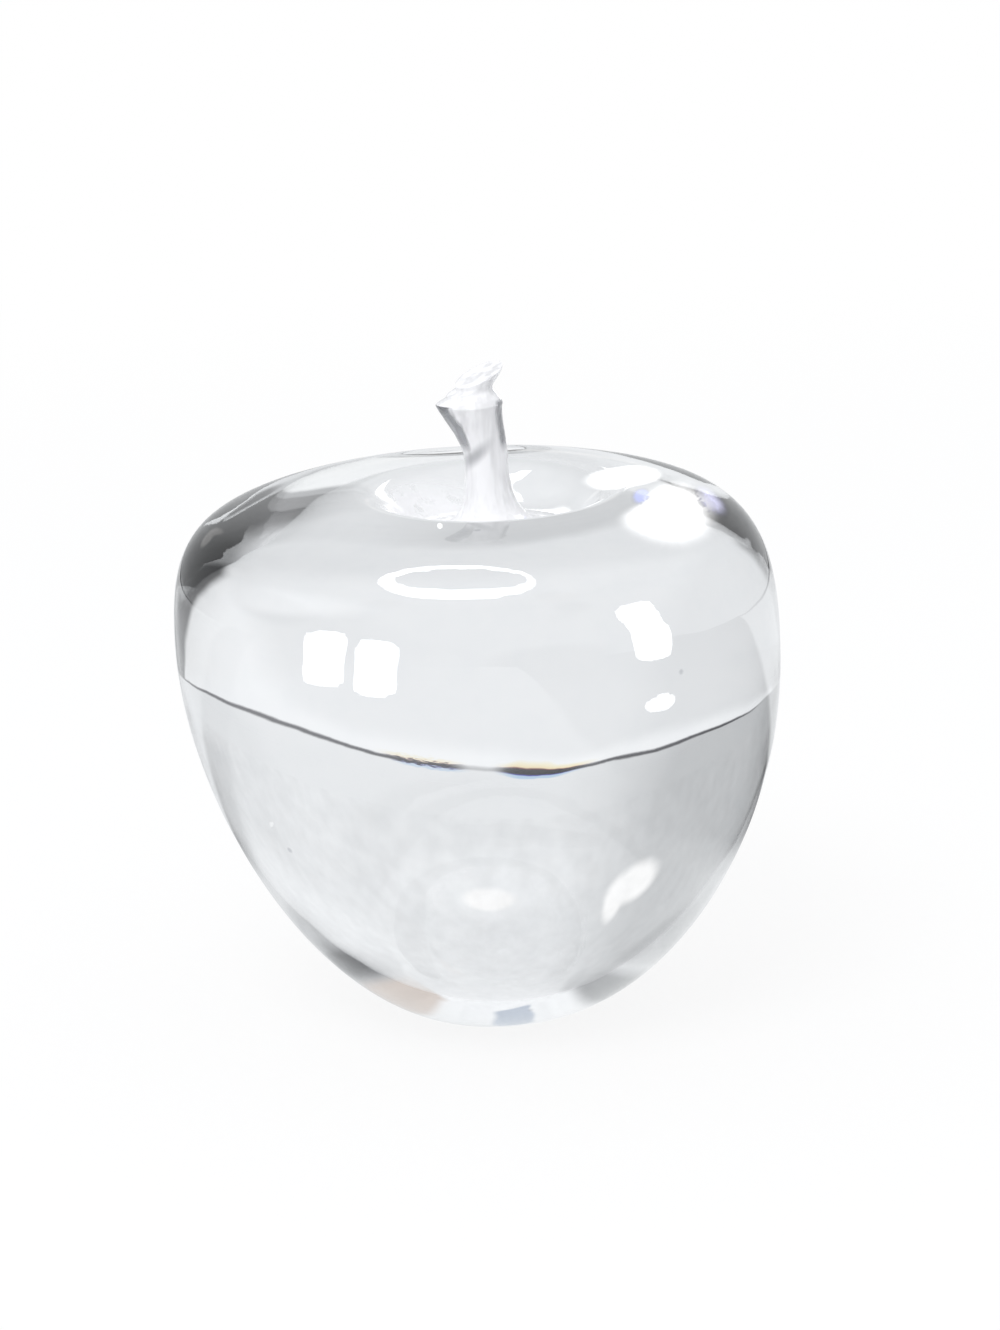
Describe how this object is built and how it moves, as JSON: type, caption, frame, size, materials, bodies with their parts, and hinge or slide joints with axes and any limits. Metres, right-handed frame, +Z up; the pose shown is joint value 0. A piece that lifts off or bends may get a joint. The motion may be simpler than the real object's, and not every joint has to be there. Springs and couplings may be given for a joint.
{
  "type": "art glass apple",
  "caption": "Solid clear glass apple paperweight: hand-worked body with a dimple, ground foot with a polished hollow, and an applied sheared stem.",
  "frame": {"origin": "in the plane of the ground foot, under the middle of the belly", "axes": "+Z up, from the foot to the stem; +X to the right and +Y away, seen from the front"},
  "size_m": [0.08, 0.08, 0.0873],
  "materials": {
    "clear_glass": "fire polished",
    "stem_glass": "fire polished"
  },
  "bodies": {
    "root": {"apple_body": "clear_glass", "stem": "stem_glass"}
  },
  "joints": []
}
